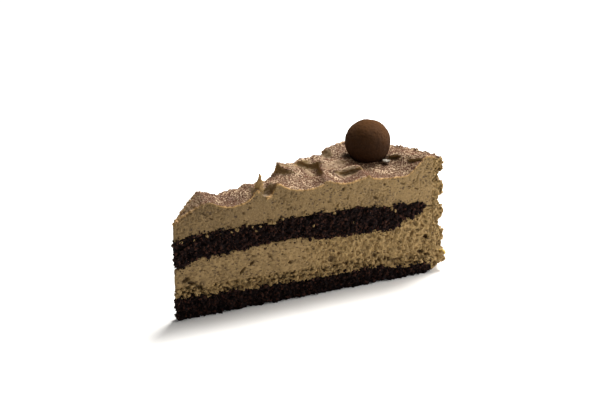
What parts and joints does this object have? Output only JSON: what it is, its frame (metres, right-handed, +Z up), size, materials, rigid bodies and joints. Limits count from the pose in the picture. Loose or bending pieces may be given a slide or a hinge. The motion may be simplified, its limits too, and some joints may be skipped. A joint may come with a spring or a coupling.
{
  "type": "torte slice",
  "caption": "Wedge of layered chocolate torte: dark sponge, mousse filling, wavy cocoa-dusted cream top, combed cream rim and a truffle.",
  "frame": {"origin": "centre of the bounding box's footprint, on the table", "axes": "+X from the tip towards the combed rim, +Y from the front cut towards the back cut, +Z up"},
  "size_m": [0.144, 0.0574, 0.0742],
  "materials": {
    "chocolate_sponge": "open, crumbly and matt",
    "mousse": "cut with a knife, satin to matt, with small pores",
    "dusted_cream": "matt cream under a thin dusting of cocoa",
    "cocoa_truffle": "velvety, rolled in cocoa",
    "white_cream": "smooth, satin"
  },
  "bodies": {
    "root": {"sponge_base": "chocolate_sponge", "mousse_filling": "mousse", "sponge_middle": "chocolate_sponge", "top_cream": "dusted_cream", "truffle": "cocoa_truffle", "truffle_dab": "white_cream"}
  },
  "joints": []
}
